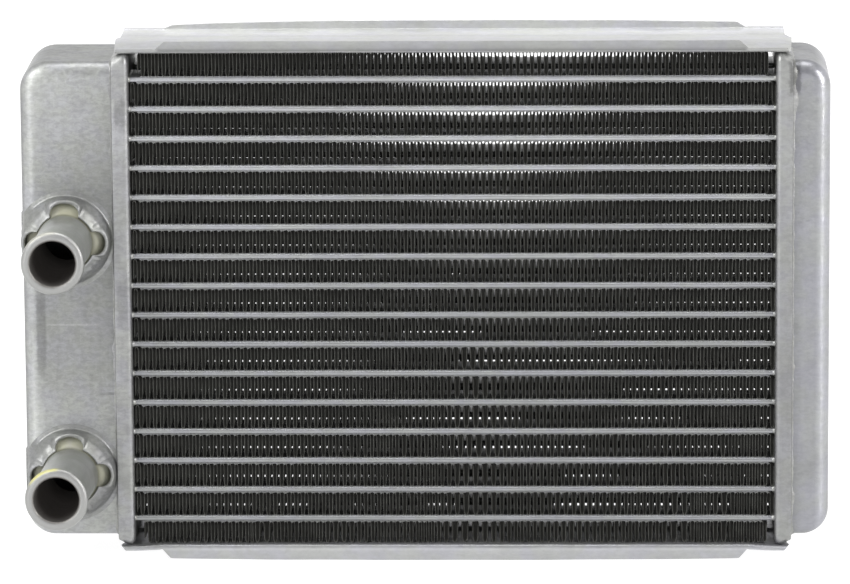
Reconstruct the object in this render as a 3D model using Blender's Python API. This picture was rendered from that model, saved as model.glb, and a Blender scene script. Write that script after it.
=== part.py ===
"""Heater core: a brazed aluminium core of flat tubes and folded fins between two header plates, with an inlet and
outlet tank on the left, a return tank on the right, a channel along the top and bottom, and two straight hose stubs
on the front of the left tank. The front faces -Y, +X is to the right, and the core stands on the flange tips of the
bottom side plate. Sizes below are in millimetres and turned into metres when the meshes are made."""

import math

import bmesh
import bpy

# Core, in millimetres. x = 0 is the middle between the header plates, y = 0 the front plane of the header plates.
# Each level has a front and a rear tube with a gap between them, and the fin strips run through the whole depth
DEPTH = 42.0
LEVELS = 16
TUBE_PITCH = 9.09
TUBE_THICK = 1.7
TUBE_WALL = 0.4
TUBE_ROWS = (("front", 2.5, 16.9), ("rear", 25.1, 39.5))
TUBE_REACH = 100.4
TUBE_Z_FIRST = 148.89
FIN_REACH, FIN_REACH_END = 97.4, 95.3
FIN_FRONT, FIN_BACK = 2.8, 39.2
FIN_FOLDS = 26
FIN_SHEET = 0.3
GAP = 0.3

# Header plates
HEADER_IN, HEADER_OUT = 97.9, 103.0
HEADER_SHEET, HEADER_RIM = 1.3, 1.0
HEADER_Z0, HEADER_Z1 = 4.65, 156.9
HEADER_TAPER = 1.4
HEADER_EDGE = 1.6
HEADER_CORNER = 3.0

# Tanks
TANK_MOUTH = 100.9
TANK_LEFT, TANK_RIGHT = 131.0, 114.4
TANK_FRONT, TANK_BACK = 1.3, 40.7
TANK_Z0, TANK_Z1 = 7.25, 154.3
TANK_WALL = 1.5
TANK_CORNER_LEFT, TANK_CORNER_RIGHT = 9.8, 8.2
TANK_EDGE = 4.0

# Side plates
PLATE_SHEET = 1.0
PLATE_BEND = 1.2
PLATE_LIP = 1.45
PLATE_HALF_TOP, PLATE_HALF_BOTTOM = 101.5, 100.9
PLATE_FLANGE_TOP, PLATE_FLANGE_BOTTOM = 3.75, 4.35
PLATE_WEB_TOP, PLATE_WEB_BOTTOM = 157.2, 4.35
FLANGE_OUT, FLANGE_FULL = 89.6, 87.0
BEAD_RISE = 0.8
BEAD_FRONT, BEAD_BACK = 2.8, 20.0

# Hose stubs: (label, foot x, foot z, mouth x, mouth z). Both lean slightly outward and upward
STUBS = (
    ("upper", -117.5, 99.9, -118.3, 100.35),
    ("lower", -116.9, 27.4, -118.5, 28.15),
)
STUB_OUTER, STUB_PIPE, STUB_BORE = 9.525, 8.35, 6.73
STUB_MOUTH, STUB_FOOT = -39.2, 4.2
BEAD_RADIUS = 11.8
COLLAR_OUTER, COLLAR_WALL = 13.4, 1.1
COLLAR_FRONT = -4.2
BOSS_RADIUS, BOSS_FRONT = 14.0, 0.6

# Baffle in the left tank, between the ninth and tenth levels
BAFFLE_Z, BAFFLE_THICK = 71.6, 1.5

# The part's origin is put at the middle of the box's footprint
SHIFT_X = (BOSS_RADIUS - STUBS[0][1] - TANK_RIGHT) / 2
SHIFT_Y = -(STUB_MOUTH + DEPTH) / 2

TANK_GREY = (0.50, 0.51, 0.50)
PLATE_GREY = (0.58, 0.58, 0.59)
TUBE_GREY = (0.52, 0.53, 0.55)
FIN_GREY = (0.16, 0.16, 0.15)
STUB_GREY = (0.53, 0.54, 0.52)


def clear_scene():
    for obj in list(bpy.data.objects):
        bpy.data.objects.remove(obj, do_unlink=True)


def material(name, colour, roughness, metallic):
    mat = bpy.data.materials.new(name)
    mat.use_nodes = True
    shader = mat.node_tree.nodes["Principled BSDF"]
    shader.inputs["Base Color"].default_value = (*colour, 1.0)
    shader.inputs["Roughness"].default_value = roughness
    shader.inputs["Metallic"].default_value = metallic
    mat.diffuse_color = (*colour, 1.0)
    return mat


def finish_object(name, bm, mat, helper=False, sharp=32):
    """Turns a bmesh in millimetres into an object in metres."""
    bmesh.ops.recalc_face_normals(bm, faces=bm.faces)
    for vert in bm.verts:
        vert.co.x = (vert.co.x + SHIFT_X) / 1000
        vert.co.y = (vert.co.y + SHIFT_Y) / 1000
        vert.co.z = vert.co.z / 1000
    mesh = bpy.data.meshes.new(name)
    bm.to_mesh(mesh)
    bm.free()
    mesh.shade_smooth()
    mesh.set_sharp_from_angle(angle=math.radians(sharp))
    obj = bpy.data.objects.new(name, mesh)
    bpy.context.scene.collection.objects.link(obj)
    if mat:
        mesh.materials.append(mat)
    if helper:
        obj.hide_render = True
        obj.display_type = "WIRE"
    return obj


def loft(bm, loops, ring=False):
    """Skins a list of loops that have the same number of points. A ring joins the last loop to the first; otherwise
    both ends are capped."""
    rows = [[bm.verts.new(point) for point in loop] for loop in loops]
    pairs = list(zip(rows, rows[1:]))
    if ring:
        pairs.append((rows[-1], rows[0]))
    for one, two in pairs:
        count = len(one)
        for i in range(count):
            j = (i + 1) % count
            bm.faces.new((one[i], one[j], two[j], two[i]))
    if not ring:
        bm.faces.new(rows[0][::-1])
        bm.faces.new(rows[-1])
    return rows


def boolean(obj, other, operation):
    modifier = obj.modifiers.new(operation.lower() + "_" + other.name, "BOOLEAN")
    modifier.operation = operation
    modifier.solver = "EXACT"
    modifier.object = other


def rounded_rectangle(y0, y1, z0, z1, radius, steps=4):
    """Points of a rounded rectangle in the y-z plane, counter-clockwise from the +y side."""
    points = []
    for cy, cz, start in (
        (y1 - radius, z1 - radius, 0),
        (y0 + radius, z1 - radius, 90),
        (y0 + radius, z0 + radius, 180),
        (y1 - radius, z0 + radius, 270),
    ):
        for step in range(steps + 1):
            angle = math.radians(start + 90 * step / steps)
            points.append((cy + radius * math.cos(angle), cz + radius * math.sin(angle)))
    return points


def flat_oval(y0, y1, z, half, steps=3):
    """Points of a flat oval in the y-z plane, with round ends at y0 and y1."""
    points = []
    for cy, start in ((y1 - half, -90), (y0 + half, 90)):
        for step in range(steps + 1):
            angle = math.radians(start + 180 * step / steps)
            points.append((cy + half * math.cos(angle), z + half * math.sin(angle)))
    return points


def taper(x):
    """How far the header plate's ends are drawn in at the distance x from the middle."""
    return HEADER_TAPER * min(1.0, max(0.0, (x - 100.0) / (HEADER_OUT - 100.0)))


def header_plate(name, side, mat):
    """A shallow tray, open away from the core, with a rounded edge on the core side and a slot for each tube."""

    def loop(x, inset, radius):
        end = inset + taper(x)
        return [
            (side * x, y, z)
            for y, z in rounded_rectangle(
                inset, DEPTH - inset, HEADER_Z0 + end, HEADER_Z1 - end, radius
            )
        ]

    loops = []
    for step in range(5):
        angle = math.radians(90 * step / 4)
        inset = HEADER_EDGE * (1 - math.sin(angle))
        x = HEADER_IN + HEADER_EDGE * (1 - math.cos(angle))
        loops.append(loop(x, inset, HEADER_CORNER - inset * 0.6))
    loops.append(loop(101.5, 0, HEADER_CORNER))
    loops.append(loop(HEADER_OUT, 0, HEADER_CORNER))
    loops.append(loop(HEADER_OUT, HEADER_RIM, HEADER_CORNER - HEADER_RIM))
    loops.append(loop(101.5, HEADER_RIM, HEADER_CORNER - HEADER_RIM))
    loops.append(
        loop(HEADER_IN + HEADER_SHEET, HEADER_RIM, HEADER_CORNER - HEADER_RIM)
    )
    bm = bmesh.new()
    loft(bm, loops)
    plate = finish_object(name, bm, mat)

    bm = bmesh.new()
    for index in range(LEVELS):
        z = TUBE_Z_FIRST - TUBE_PITCH * index
        for _, front, back in TUBE_ROWS:
            loft(
                bm,
                [
                    [
                        (side * x, y, zz)
                        for y, zz in flat_oval(front - GAP, back + GAP, z, TUBE_THICK / 2 + GAP)
                    ]
                    for x in (HEADER_IN - 1, HEADER_IN + HEADER_SHEET + 0.6)
                ],
            )
    slots = finish_object(name + "_slots", bm, None, helper=True)
    boolean(plate, slots, "DIFFERENCE")
    return plate


def tank_outline(side, far, mouth, inset, corner, steps=6):
    """The tank's outline in the x-z plane, open side first, drawn in by inset on its three closed sides."""
    radius = corner - inset
    top, bottom, out = TANK_Z1 - inset, TANK_Z0 + inset, far - inset
    points = [(mouth, bottom), (mouth, top)]
    for step in range(steps + 1):
        angle = math.radians(90 - 90 * step / steps)
        points.append(
            (out - radius + radius * math.cos(angle), top - radius + radius * math.sin(angle))
        )
    for step in range(steps + 1):
        angle = math.radians(-90 * step / steps)
        points.append(
            (out - radius + radius * math.cos(angle), bottom + radius + radius * math.sin(angle))
        )
    return [(side * x, z) for x, z in points]


def tank_solid(name, side, far, mouth, inset, corner, edge, mat, helper=False):
    """A closed block of the tank's outer shape (inset 0) or of its chamber (inset = wall)."""
    front, back = TANK_FRONT + inset, TANK_BACK - inset
    stations = []
    for step in range(5):
        angle = math.radians(90 * step / 4)
        stations.append((front + edge * (1 - math.cos(angle)), edge * (1 - math.sin(angle))))
    for step in range(5):
        angle = math.radians(90 - 90 * step / 4)
        stations.append((back - edge * (1 - math.cos(angle)), edge * (1 - math.sin(angle))))
    loops = []
    for y, shrink in stations:
        outline = tank_outline(side, far, mouth, inset + shrink, corner)
        loops.append([(x, y, z) for x, z in outline])
    bm = bmesh.new()
    loft(bm, loops)
    return finish_object(name, bm, mat, helper=helper)


def cutter_disc(name, x, z, rings, steps):
    """A turned, capped shape about a line along y: rings are (y, radius) pairs."""
    loops = []
    for y, radius in rings:
        loops.append(
            [
                (
                    x + radius * math.cos(2 * math.pi * i / steps),
                    y,
                    z + radius * math.sin(2 * math.pi * i / steps),
                )
                for i in range(steps)
            ]
        )
    bm = bmesh.new()
    loft(bm, loops)
    return finish_object(name, bm, None, helper=True)


def crimp(angle):
    """1 in the middle of each of the four staked places, at 45 degrees to the axes, and 0 on the four lobes."""
    turn = (math.degrees(angle) - 45) % 90
    off = min(turn, 90 - turn)
    if off > 24:
        return 0.0
    return 0.5 + 0.5 * math.cos(math.pi * off / 24)


def collar(name, x, z, steps=40):
    """The upstanding wall round a stub's foot, staked inward over the bead at four places."""
    stations = [
        (2.0, 0.0, 0.0),
        (-1.6, 0.0, 0.0),
        (-3.0, 0.65, 0.0),
        (COLLAR_FRONT, 1.0, 0.0),
        (COLLAR_FRONT, 1.0, COLLAR_WALL),
        (-3.0, 0.65, COLLAR_WALL),
        (-2.5, 0.0, COLLAR_WALL),
        (2.0, 0.0, COLLAR_WALL),
    ]
    loops = []
    for y, lean, wall in stations:
        loop = []
        for i in range(steps):
            angle = 2 * math.pi * i / steps
            radius = COLLAR_OUTER - wall - 1.7 * lean * crimp(angle)
            front = y + (0.7 * crimp(angle) if y == COLLAR_FRONT else 0.0)
            loop.append((x + radius * math.cos(angle), front, z + radius * math.sin(angle)))
        loops.append(loop)
    bm = bmesh.new()
    loft(bm, loops, ring=True)
    return finish_object(name, bm, None, helper=True)


def stub(name, foot_x, foot_z, mouth_x, mouth_z, mat):
    """A hose stub: a straight tube with a thick rolled end and a bead that seats on the tank. From the bead on it
    leans toward its mouth, and the mouth face stays square to y."""
    rings = [
        (STUB_FOOT, STUB_PIPE),
        (0.3, STUB_PIPE),
        (0.3, BEAD_RADIUS - 0.5),
        (-0.1, BEAD_RADIUS),
        (-1.4, BEAD_RADIUS),
        (-2.0, BEAD_RADIUS - 0.5),
        (-3.1, 9.7),
        (-4.6, STUB_PIPE),
        (STUB_MOUTH + 4.6, STUB_PIPE),
        (STUB_MOUTH + 2.9, 9.25),
        (STUB_MOUTH + 1.9, STUB_OUTER),
        (STUB_MOUTH + 0.9, STUB_OUTER - 0.1),
        (STUB_MOUTH + 0.3, STUB_OUTER - 0.5),
        (STUB_MOUTH, STUB_OUTER - 1.0),
        (STUB_MOUTH, STUB_BORE + 0.5),
        (STUB_MOUTH + 0.5, STUB_BORE),
        (STUB_FOOT, STUB_BORE),
    ]
    steps = 36
    loops = []
    for y, radius in rings:
        along = min(1.0, max(0.0, y / STUB_MOUTH))
        x = foot_x + (mouth_x - foot_x) * along
        z = foot_z + (mouth_z - foot_z) * along
        loops.append(
            [
                (
                    x + radius * math.cos(2 * math.pi * i / steps),
                    y,
                    z + radius * math.sin(2 * math.pi * i / steps),
                )
                for i in range(steps)
            ]
        )
    bm = bmesh.new()
    loft(bm, loops, ring=True)
    return finish_object(name, bm, mat)


def side_plate(name, web, up, flange, half, mat):
    """A U channel: web against the core, flanges pointing away from it and cut short at both ends."""

    def profile(height):
        r, t = PLATE_BEND, PLATE_SHEET
        points = [(0.0, height), (0.0, r)]
        for step in range(1, 4):
            angle = math.radians(180 + 90 * step / 3)
            points.append((r + r * math.cos(angle), r + r * math.sin(angle)))
        points += [(BEAD_FRONT, 0), (BEAD_FRONT + 1.4, BEAD_RISE)]
        points += [(BEAD_BACK - 1.4, BEAD_RISE), (BEAD_BACK, 0)]
        for step in range(0, 3):
            angle = math.radians(270 + 90 * step / 3)
            points.append((DEPTH - r + r * math.cos(angle), r + r * math.sin(angle)))
        points += [(DEPTH, r), (DEPTH, height), (DEPTH - t, height), (DEPTH - t, r)]
        points += [(DEPTH - r, t), (BEAD_BACK + 0.3, t), (BEAD_BACK - 1.1, t + BEAD_RISE)]
        points += [(BEAD_FRONT + 1.1, t + BEAD_RISE), (BEAD_FRONT - 0.3, t), (r, t)]
        points += [(t, r), (t, height)]
        return points

    stations = [
        (-half, PLATE_LIP),
        (-FLANGE_OUT, PLATE_LIP),
        (-FLANGE_FULL, flange),
        (FLANGE_FULL, flange),
        (FLANGE_OUT, PLATE_LIP),
        (half, PLATE_LIP),
    ]
    bm = bmesh.new()
    loft(
        bm,
        [[(x, y, web + up * z) for y, z in profile(height)] for x, height in stations],
    )
    return finish_object(name, bm, mat)


def flat_tube(name, front, back, z, mat):
    outer = flat_oval(front, back, z, TUBE_THICK / 2)
    inner = flat_oval(front + TUBE_WALL, back - TUBE_WALL, z, TUBE_THICK / 2 - TUBE_WALL)
    loops = [
        [(x, y, zz) for y, zz in outline]
        for x, outline in (
            (-TUBE_REACH, outer),
            (TUBE_REACH, outer),
            (TUBE_REACH, inner),
            (-TUBE_REACH, inner),
        )
    ]
    bm = bmesh.new()
    loft(bm, loops, ring=True)
    return finish_object(name, bm, mat)


def fin_strip(name, z0, z1, reach, mat):
    """One strip folded up and down between two levels, as a zigzag sheet that runs the depth of the core."""
    legs = 2 * FIN_FOLDS
    step = 2 * reach / legs
    rise = z1 - z0 - FIN_SHEET * math.hypot(step, z1 - z0) / step
    slope = math.hypot(step, rise) / step
    thick = FIN_SHEET * slope / 2
    low, high = z0 + thick, z1 - thick
    centre = [(-reach + step * i, high if i % 2 else low) for i in range(legs + 1)]
    above = [(x, z + thick) for x, z in centre]
    below = [(x, z - thick) for x, z in centre]
    bm = bmesh.new()
    rows = []
    for y in (FIN_FRONT, FIN_BACK):
        rows.append(
            (
                [bm.verts.new((x, y, z)) for x, z in above],
                [bm.verts.new((x, y, z)) for x, z in below],
            )
        )
    (fa, fb), (ba, bb) = rows
    for i in range(legs):
        bm.faces.new((fa[i], fa[i + 1], ba[i + 1], ba[i]))
        bm.faces.new((fb[i], bb[i], bb[i + 1], fb[i + 1]))
        bm.faces.new((fb[i], fb[i + 1], fa[i + 1], fa[i]))
        bm.faces.new((bb[i], ba[i], ba[i + 1], bb[i + 1]))
    bm.faces.new((fa[0], ba[0], bb[0], fb[0]))
    bm.faces.new((fa[-1], fb[-1], bb[-1], ba[-1]))
    return finish_object(name, bm, mat)


def baffle(name, mat):
    """The plate that divides the left tank, with the chamber's rounded edges on its outer end."""
    front, back = TANK_FRONT + TANK_WALL + GAP, TANK_BACK - TANK_WALL - GAP
    out = TANK_LEFT - TANK_WALL - GAP
    radius = TANK_EDGE - TANK_WALL - GAP
    points = [(HEADER_IN + HEADER_SHEET + GAP, front)]
    for cy, start, end in ((front + radius, -90, 0), (back - radius, 0, 90)):
        for step in range(5):
            angle = math.radians(start + (end - start) * step / 4)
            points.append((out - radius + radius * math.cos(angle), cy + radius * math.sin(angle)))
    points.append((HEADER_IN + HEADER_SHEET + GAP, back))
    bm = bmesh.new()
    loft(
        bm,
        [
            [(-x, y, BAFFLE_Z + offset) for x, y in points]
            for offset in (-BAFFLE_THICK / 2, BAFFLE_THICK / 2)
        ],
    )
    return finish_object(name, bm, mat)


def main():
    clear_scene()
    tank_mat = material("tank_aluminium", TANK_GREY, 0.42, 0.9)
    return_mat = material("return_tank_aluminium", TANK_GREY, 0.40, 0.9)
    header_mat = material("header_aluminium", PLATE_GREY, 0.45, 0.9)
    plate_mat = material("side_plate_aluminium", PLATE_GREY, 0.45, 0.9)
    tube_mat = material("tube_aluminium", TUBE_GREY, 0.42, 0.9)
    fin_mat = material("fin_aluminium", FIN_GREY, 0.5, 0.85)
    stub_mat = material("stub_aluminium", STUB_GREY, 0.45, 0.9)
    baffle_mat = material("baffle_aluminium", TANK_GREY, 0.5, 0.9)

    header_plate("header_plate_left", -1, header_mat)
    header_plate("header_plate_right", 1, header_mat)

    left = tank_solid(
        "inlet_outlet_tank", -1, TANK_LEFT, TANK_MOUTH, 0, TANK_CORNER_LEFT, TANK_EDGE, tank_mat
    )
    for label, x, z, _, _ in STUBS:
        boss = cutter_disc(
            "boss_" + label,
            x,
            z,
            [(8.0, BOSS_RADIUS), (BOSS_FRONT + 0.6, BOSS_RADIUS), (BOSS_FRONT, BOSS_RADIUS - 0.6)],
            48,
        )
        boolean(left, boss, "UNION")
        boolean(left, collar("collar_" + label, x, z), "UNION")
    boolean(
        left,
        tank_solid(
            "chamber_left", -1, TANK_LEFT, 90.0, TANK_WALL, TANK_CORNER_LEFT,
            TANK_EDGE - TANK_WALL, None, helper=True,
        ),
        "DIFFERENCE",
    )
    for label, x, z, _, _ in STUBS:
        hole = cutter_disc(
            "stub_hole_" + label, x, z, [(-6.0, STUB_PIPE + GAP), (9.0, STUB_PIPE + GAP)], 48
        )
        boolean(left, hole, "DIFFERENCE")

    right = tank_solid(
        "return_tank", 1, TANK_RIGHT, TANK_MOUTH, 0, TANK_CORNER_RIGHT, TANK_EDGE, return_mat
    )
    boolean(
        right,
        tank_solid(
            "chamber_right", 1, TANK_RIGHT, 90.0, TANK_WALL, TANK_CORNER_RIGHT,
            TANK_EDGE - TANK_WALL, None, helper=True,
        ),
        "DIFFERENCE",
    )

    for label, *ends in STUBS:
        stub("hose_stub_" + label, *ends, stub_mat)
    baffle("tank_baffle", baffle_mat)

    side_plate(
        "side_plate_top", PLATE_WEB_TOP, 1, PLATE_FLANGE_TOP, PLATE_HALF_TOP, plate_mat
    )
    side_plate(
        "side_plate_bottom", PLATE_WEB_BOTTOM, -1, PLATE_FLANGE_BOTTOM, PLATE_HALF_BOTTOM,
        plate_mat,
    )

    for index in range(LEVELS):
        z = TUBE_Z_FIRST - TUBE_PITCH * index
        for row, front, back in TUBE_ROWS:
            flat_tube(f"flat_tube_{row}_{index + 1:02d}", front, back, z, tube_mat)
    for index in range(LEVELS + 1):
        top = TUBE_Z_FIRST - TUBE_PITCH * (index - 1) - TUBE_THICK / 2
        low = TUBE_Z_FIRST - TUBE_PITCH * index + TUBE_THICK / 2
        reach = FIN_REACH
        if index == 0:
            top, reach = PLATE_WEB_TOP, FIN_REACH_END
        if index == LEVELS:
            low, reach = PLATE_WEB_BOTTOM, FIN_REACH_END
        fin_strip(f"fin_strip_{index + 1:02d}", low + GAP, top - GAP, reach, fin_mat)


main()
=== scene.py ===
import math

import bmesh
import bpy
import numpy as np
from mathutils import Matrix, Vector


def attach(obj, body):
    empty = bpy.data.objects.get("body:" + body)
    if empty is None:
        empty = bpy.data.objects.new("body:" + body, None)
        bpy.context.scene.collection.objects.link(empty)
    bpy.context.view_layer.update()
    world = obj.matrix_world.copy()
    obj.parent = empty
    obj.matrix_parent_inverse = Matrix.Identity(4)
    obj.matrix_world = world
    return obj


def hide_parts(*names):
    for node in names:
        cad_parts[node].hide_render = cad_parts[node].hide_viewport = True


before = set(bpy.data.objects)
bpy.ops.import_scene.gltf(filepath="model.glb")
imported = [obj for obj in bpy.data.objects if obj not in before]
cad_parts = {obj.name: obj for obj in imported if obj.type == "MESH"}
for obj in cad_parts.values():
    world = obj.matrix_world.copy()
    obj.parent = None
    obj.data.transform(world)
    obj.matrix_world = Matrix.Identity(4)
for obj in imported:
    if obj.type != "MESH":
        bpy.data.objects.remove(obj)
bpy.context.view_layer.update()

# Everything below is laid out in millimetres, with x = 0 midway between the header plates and y = 0 on their front
# plane, and is shifted into the frame when a mesh is made.
SHIFT = np.array([8.55, -1.4, 0.0])

DEPTH = 42.0
TUBES = 16
PITCH = 9.09
TUBE_HALF = 0.85
TUBE_WALL = 0.35
TUBE_ROWS = (("front", 2.5, 16.9), ("rear", 25.1, 39.5))
TUBE_REACH = 100.4
TUBE_TOP_Z = 148.89
FIN_REACH, FIN_REACH_END = 97.5, 95.3
FIN_FRONT, FIN_BACK = 2.85, 39.15
HEADER_IN, HEADER_OUT = 97.9, 103.0
HEADER_Z0, HEADER_Z1 = 4.40, 157.14
TANK_MOUTH = 100.9
TANK_LEFT, TANK_RIGHT = 131.0, 114.4
TANK_FRONT, TANK_BACK = 1.3, 40.7
TANK_Z0, TANK_Z1 = 7.25, 154.3
TANK_WALL = 1.5
TANK_EDGE = 4.0
WEB_TOP, WEB_BOTTOM = 157.2, 4.35
WEB_RISE = 0.5
# foot x, foot z, mouth x, mouth z
STUBS = {"upper": (-117.5, 99.9, -118.3, 100.35), "lower": (-116.9, 27.4, -118.5, 28.15)}
STUB_OUTER, STUB_PIPE, STUB_BORE = 9.525, 8.35, 6.73
STUB_MOUTH, STUB_FOOT = -39.2, 4.2


# ---------------------------------------------------------------- mesh helpers
def wave_noise(rng, count, low, high):
    """A smooth seeded function of one variable, as a sum of sines between two frequencies per millimetre."""
    freq = rng.uniform(low, high, count)
    phase = rng.uniform(0, 2 * math.pi, count)
    amp = rng.uniform(0.5, 1.0, count)
    amp = amp / amp.sum()

    def value(t):
        t = np.asarray(t, float)
        return (amp * np.sin(2 * math.pi * freq * t[..., None] + phase)).sum(-1)

    return value


def link_mesh(name, verts, faces, mat, slot, smooth=True, sharp=33, recalc=True, weighted=False):
    verts = (np.asarray(verts, float) + SHIFT) / 1000.0
    mesh = bpy.data.meshes.new(name)
    mesh.from_pydata(verts.tolist(), [], [list(face) for face in faces])
    if recalc:
        bm = bmesh.new()
        bm.from_mesh(mesh)
        bmesh.ops.recalc_face_normals(bm, faces=bm.faces)
        bm.to_mesh(mesh)
        bm.free()
    if smooth:
        mesh.shade_smooth()
        mesh.set_sharp_from_angle(angle=math.radians(sharp))
    obj = bpy.data.objects.new(name, mesh)
    bpy.context.scene.collection.objects.link(obj)
    if mat:
        mesh.materials.append(mat)
    if weighted:
        obj.modifiers.new("normals", "WEIGHTED_NORMAL").keep_sharp = True
    if slot:
        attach(obj, "root")
    return obj


class Builder:
    """Collects points and faces of several lofted shapes into one mesh."""

    def __init__(self):
        self.verts, self.faces = [], []

    def loft(self, loops, closed=True, ring=False, cap_start=True, cap_end=True):
        base = len(self.verts)
        n = len(loops[0])
        for loop in loops:
            self.verts.extend([tuple(p) for p in loop])
        count = len(loops)
        pairs = [(k, k + 1) for k in range(count - 1)] + ([(count - 1, 0)] if ring else [])
        for a, b in pairs:
            for i in range(n if closed else n - 1):
                j = (i + 1) % n
                self.faces.append((base + a * n + i, base + a * n + j, base + b * n + j, base + b * n + i))
        if not ring and cap_start:
            self.faces.append(tuple(base + i for i in range(n - 1, -1, -1)))
        if not ring and cap_end:
            self.faces.append(tuple(base + (count - 1) * n + i for i in range(n)))

    def link(self, name, mat, slot, **more):
        return link_mesh(name, self.verts, self.faces, mat, slot, **more)


def bake_modifiers(obj):
    """Replaces an object's mesh by what its modifiers make, and drops them."""
    graph = bpy.context.evaluated_depsgraph_get()
    mesh = bpy.data.meshes.new_from_object(obj.evaluated_get(graph), depsgraph=graph)
    obj.modifiers.clear()
    obj.data = mesh
    return obj


def cut(obj, cutters, operation="DIFFERENCE"):
    for cutter in cutters:
        modifier = obj.modifiers.new("cut", "BOOLEAN")
        modifier.operation = operation
        modifier.solver = "EXACT"
        modifier.object = cutter
    bpy.context.view_layer.update()
    bake_modifiers(obj)
    for cutter in cutters:
        bpy.data.objects.remove(cutter, do_unlink=True)
    return obj


def arc(cx, cy, radius, start, end, steps):
    return [
        (cx + radius * math.cos(math.radians(start + (end - start) * k / steps)),
         cy + radius * math.sin(math.radians(start + (end - start) * k / steps)))
        for k in range(steps + 1)
    ]


# ---------------------------------------------------------------- materials
class Nodes:
    """Short names for building a material's node tree."""

    def __init__(self, name):
        self.mat = bpy.data.materials.new(name)
        self.mat.use_nodes = True
        self.tree = self.mat.node_tree
        self.shader = self.tree.nodes["Principled BSDF"]
        self.coords = self.new("ShaderNodeTexCoord").outputs["Object"]

    def new(self, kind, **settings):
        node = self.tree.nodes.new(kind)
        for key, value in settings.items():
            setattr(node, key, value)
        return node

    def wire(self, value, socket):
        if isinstance(value, bpy.types.NodeSocket):
            self.tree.links.new(value, socket)
        elif hasattr(socket.default_value, "__len__") and not hasattr(value, "__len__"):
            socket.default_value = [value] * len(socket.default_value)
        else:
            socket.default_value = value

    def mapped(self, scale, offset=(0, 0, 0)):
        node = self.new("ShaderNodeMapping")
        self.wire(self.coords, node.inputs["Vector"])
        node.inputs["Scale"].default_value = scale if hasattr(scale, "__len__") else (scale,) * 3
        node.inputs["Location"].default_value = offset
        return node.outputs["Vector"]

    def noise(self, scale, detail=3.0, rough=0.55, offset=(0, 0, 0), distortion=0.0):
        node = self.new("ShaderNodeTexNoise")
        self.wire(self.mapped(scale, offset), node.inputs["Vector"])
        node.inputs["Scale"].default_value = 1.0
        node.inputs["Detail"].default_value = detail
        node.inputs["Roughness"].default_value = rough
        node.inputs["Distortion"].default_value = distortion
        return node.outputs["Fac"]

    def voronoi(self, scale, feature="F1"):
        node = self.new("ShaderNodeTexVoronoi", feature=feature)
        self.wire(self.mapped(scale), node.inputs["Vector"])
        node.inputs["Scale"].default_value = 1.0
        return node.outputs["Distance"]

    def span(self, value, low, high, out_low=0.0, out_high=1.0, smooth=True):
        node = self.new("ShaderNodeMapRange", interpolation_type="SMOOTHSTEP" if smooth else "LINEAR")
        for index, item in enumerate((value, low, high, out_low, out_high)):
            self.wire(item, node.inputs[index])
        return node.outputs[0]

    def math(self, operation, a, b=0.0, c=0.0, clamp=False):
        node = self.new("ShaderNodeMath", operation=operation, use_clamp=clamp)
        for index, item in enumerate((a, b, c)):
            self.wire(item, node.inputs[index])
        return node.outputs[0]

    def ramp(self, value, low, high, stops):
        """A factor that follows value along straight pieces between stops of (place, factor)."""
        node = self.new("ShaderNodeValToRGB")
        self.wire(self.span(value, low, high, smooth=False), node.inputs[0])
        band = node.color_ramp
        band.elements[0].position, band.elements[1].position = 0.0, 1.0
        ends = {0.0: band.elements[0], 1.0: band.elements[1]}
        for place, factor in (stops[0], stops[-1], *stops[1:-1]):
            at = (place - low) / (high - low)
            (ends.get(at) or band.elements.new(at)).color = (factor / 2,) * 3 + (1.0,)
        return self.math("MULTIPLY", node.outputs[0], 2.0)

    def mix(self, factor, a, b, blend="MIX"):
        node = self.new("ShaderNodeMix", data_type="RGBA", blend_type=blend)
        self.wire(factor, node.inputs[0])
        for item, index in ((a, 6), (b, 7)):
            if isinstance(item, bpy.types.NodeSocket):
                self.tree.links.new(item, node.inputs[index])
            else:
                node.inputs[index].default_value = (*item, 1.0) if len(item) == 3 else item
        return node.outputs[2]

    def xyz(self):
        node = self.new("ShaderNodeSeparateXYZ")
        self.wire(self.coords, node.inputs[0])
        return node.outputs

    def bump(self, height, strength, distance, normal=None):
        node = self.new("ShaderNodeBump")
        node.inputs["Strength"].default_value = strength
        node.inputs["Distance"].default_value = distance
        self.wire(height, node.inputs["Height"])
        if normal:
            self.wire(normal, node.inputs["Normal"])
        return node.outputs["Normal"]

    def finish(self, colour, roughness, metallic, normal, specular=0.5):
        self.wire(colour, self.shader.inputs["Base Color"])
        self.wire(roughness, self.shader.inputs["Roughness"])
        self.shader.inputs["Metallic"].default_value = metallic
        self.shader.inputs["Specular IOR Level"].default_value = specular
        if normal:
            self.wire(normal, self.shader.inputs["Normal"])
        return self.mat


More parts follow.
